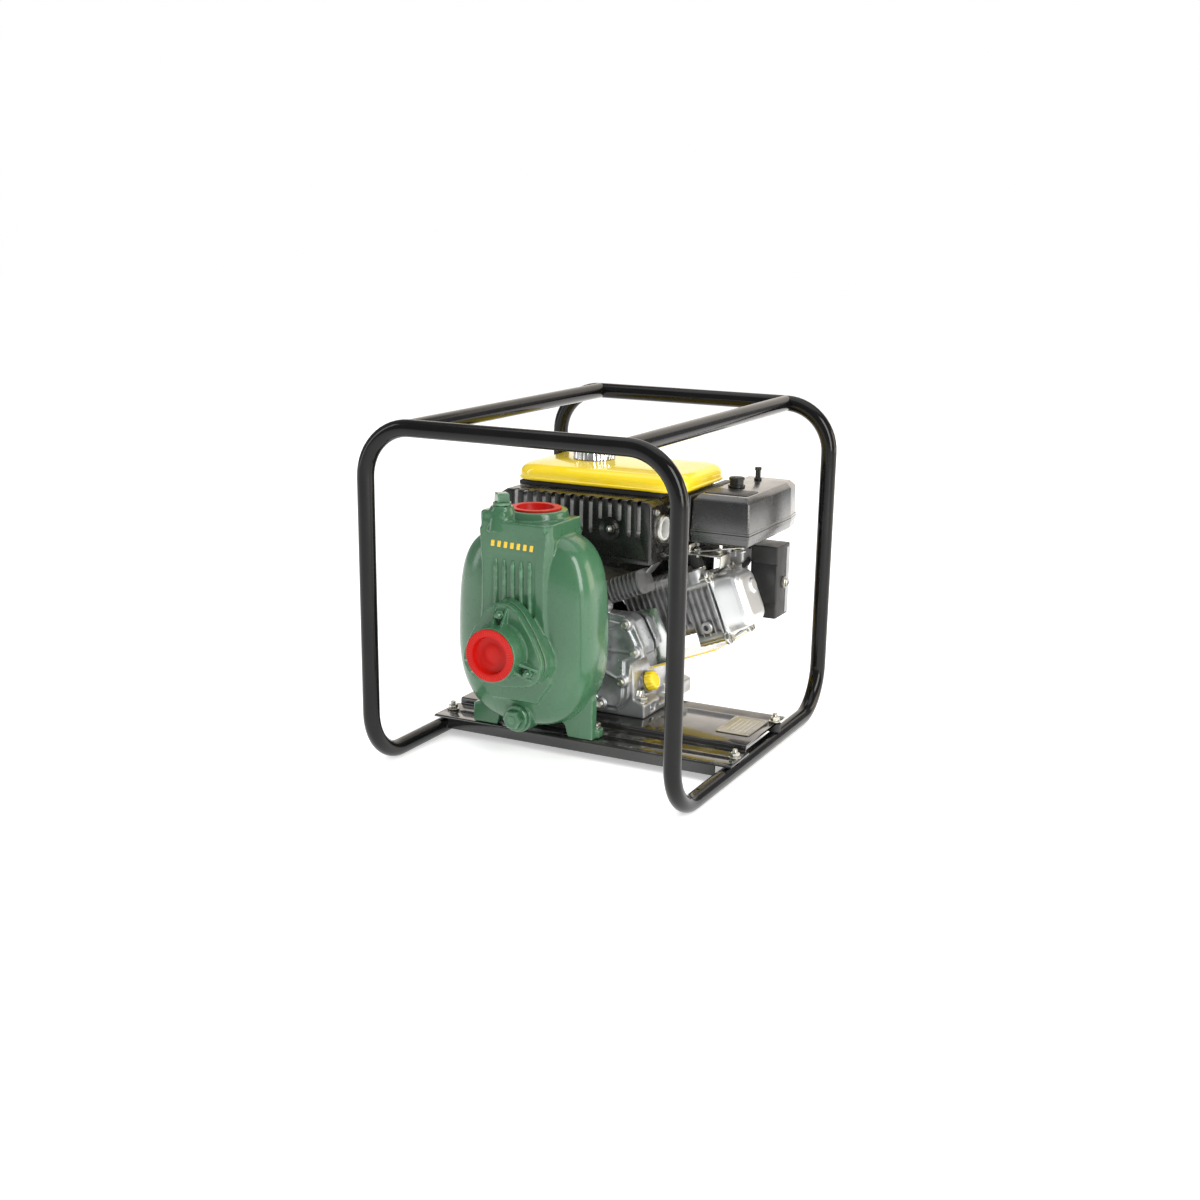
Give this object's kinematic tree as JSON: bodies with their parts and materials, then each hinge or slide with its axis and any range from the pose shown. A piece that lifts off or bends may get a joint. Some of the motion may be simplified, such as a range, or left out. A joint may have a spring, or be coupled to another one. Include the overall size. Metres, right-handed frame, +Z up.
{
  "type": "portable engine driven pump",
  "caption": "Engine-driven self-priming centrifugal pump on a folded base in a tubular carrying frame, with suction and discharge ports.",
  "frame": {"origin": "centre of the frame's footprint, on the ground", "axes": "+X right seen from the pump end, +Y from the pump towards the recoil starter, +Z up"},
  "size_m": [0.52, 0.62, 0.532],
  "materials": {
    "frame_black": "gloss black paint",
    "base_black": "gloss black paint",
    "rubber": "matt",
    "zinc": "zinc plated",
    "name_plate": "brushed, blank",
    "pump_green": "satin green paint over iron",
    "cap_red": "moulded",
    "alloy": "as cast",
    "bright_alloy": "bright cast",
    "iron": "bare",
    "steel": "machined",
    "engine_yellow": "gloss yellow paint",
    "chrome": "polished",
    "muffler_steel": "heat-dulled",
    "guard_black": "gloss black paint",
    "black_plastic": "satin",
    "foam": "open foam"
  },
  "bodies": {
    "root": {"frame_front_hoop": "frame_black", "frame_rear_hoop": "frame_black", "top_rail_left": "frame_black", "top_rail_right": "frame_black", "base_plate": "base_black", "base_bush_1": "rubber", "base_bush_2": "rubber", "base_bush_3": "rubber", "base_bush_4": "rubber", "shaft_seal": "rubber", "spark_plug_boot": "rubber", "suction_gasket": "rubber", "base_stud_1": "zinc", "base_stud_2": "zinc", "base_stud_3": "zinc", "base_stud_4": "zinc", "suction_stud_1": "zinc", "suction_stud_2": "zinc", "suction_stud_3": "zinc", "pump_foot_bolt_left": "zinc", "pump_foot_bolt_right": "zinc", "name_plate": "name_plate", "pump_casing": "pump_green", "suction_flange": "pump_green", "pump_adapter": "alloy", "crankcase": "alloy", "side_cover": "alloy", "cylinder": "alloy", "cylinder_head": "alloy", "carburettor": "alloy", "head_cover": "bright_alloy", "volute": "iron", "fan_housing": "engine_yellow", "cylinder_shroud": "engine_yellow", "fuel_tank": "engine_yellow", "muffler": "muffler_steel", "muffler_guard": "guard_black", "air_cleaner_base": "black_plastic", "control_box": "black_plastic", "air_filter": "foam"},
    "rotor": {"crankshaft": "steel", "impeller": "iron", "flywheel": "iron"},
    "flap": {"check_flap": "rubber"},
    "suction_plug": {"suction_cap": "cap_red"},
    "discharge_plug": {"discharge_cap": "cap_red"},
    "filler": {"fill_plug": "pump_green"},
    "drain": {"drain_plug": "pump_green"},
    "piston": {"piston": "alloy"},
    "pulley": {"starter_pulley": "black_plastic"},
    "grip": {"starter_grip": "black_plastic"},
    "tank_cap": {"fuel_cap": "chrome"},
    "dipstick": {"oil_filler_cap": "engine_yellow"},
    "cleaner_cover": {"air_cleaner_cover": "black_plastic"},
    "front_knob": {"knob_front": "black_plastic"},
    "rear_knob": {"knob_rear": "black_plastic"},
    "throttle": {"throttle_lever": "zinc"},
    "choke": {"choke_lever": "black_plastic"},
    "fuel_cock": {"fuel_cock_lever": "black_plastic"},
    "switch": {"engine_switch": "zinc"}
  },
  "joints": [
    {"name": "crank_spin", "type": "hinge", "parent": "root", "child": "rotor", "pos_m": [-0.08, 0, 0.147], "axis": [0, 1, 0], "continuous": true},
    {"name": "flap_swing", "type": "hinge", "parent": "root", "child": "flap", "pos_m": [-0.08, -0.148, 0.22], "axis": [1, 0, 0], "range_deg": [0, 45]},
    {"name": "suction_cap_pull", "type": "slide", "parent": "root", "child": "suction_plug", "axis": [0, -1, 0], "range_m": [0, 0.05]},
    {"name": "discharge_cap_pull", "type": "slide", "parent": "root", "child": "discharge_plug", "axis": [0, 0, 1], "range_m": [0, 0.05]},
    {"name": "fill_plug_turn", "type": "hinge", "parent": "root", "child": "filler", "pos_m": [-0.11, -0.144, 0.392], "axis": [0, 0, 1], "range_deg": [0, 1080]},
    {"name": "drain_plug_turn", "type": "hinge", "parent": "root", "child": "drain", "pos_m": [-0.08, -0.152, 0.066], "axis": [0, -1, 0], "range_deg": [0, 1080]},
    {"name": "piston_slide", "type": "slide", "parent": "root", "child": "piston", "axis": [0.9272, 0, 0.3746], "range_m": [-0.029, 0.029]},
    {"name": "grip_pull", "type": "slide", "parent": "root", "child": "grip", "axis": [1, 0, 0], "range_m": [0, 0.05], "stiffness_N_per_m": 60, "springref_m": -0.02},
    {"name": "pulley_turn", "type": "hinge", "parent": "root", "child": "pulley", "pos_m": [-0.08, 0, 0.147], "axis": [0, 1, 0], "range_deg": [0, 90]},
    {"name": "fuel_cap_turn", "type": "hinge", "parent": "root", "child": "tank_cap", "pos_m": [-0.098, 0.135, 0.44], "axis": [0, 0, 1], "range_deg": [0, 90]},
    {"name": "oil_cap_turn", "type": "hinge", "parent": "root", "child": "dipstick", "pos_m": [0.036, 0.047, 0.087], "axis": [0.9397, 0, 0.342], "range_deg": [0, 720]},
    {"name": "cleaner_cover_lift", "type": "slide", "parent": "root", "child": "cleaner_cover", "axis": [0, 0, 1], "range_m": [0, 0.06]},
    {"name": "knob_front_turn", "type": "hinge", "parent": "cleaner_cover", "child": "front_knob", "pos_m": [0.136, 0.178, 0.395], "axis": [0, 0, 1], "range_deg": [0, 720]},
    {"name": "knob_rear_turn", "type": "hinge", "parent": "cleaner_cover", "child": "rear_knob", "pos_m": [0.14, 0.261, 0.395], "axis": [0, 0, 1], "range_deg": [0, 720]},
    {"name": "throttle_swing", "type": "hinge", "parent": "root", "child": "throttle", "pos_m": [0.13, 0.166, 0.299], "axis": [0, 0, 1], "range_deg": [-25, 35]},
    {"name": "choke_swing", "type": "hinge", "parent": "root", "child": "choke", "pos_m": [0.1505, 0.208, 0.296], "axis": [1, 0, 0], "range_deg": [0, 50]},
    {"name": "fuel_cock_swing", "type": "hinge", "parent": "root", "child": "fuel_cock", "pos_m": [0.1505, 0.205, 0.272], "axis": [1, 0, 0], "range_deg": [0, 90]},
    {"name": "switch_turn", "type": "hinge", "parent": "root", "child": "switch", "pos_m": [0.205, 0.224, 0.238], "axis": [1, 0, 0], "range_deg": [0, 60]}
  ],
  "couplings": [
    {"joint": "pulley_turn", "follows": "grip_pull", "rad_per_m": 29.85}
  ]
}
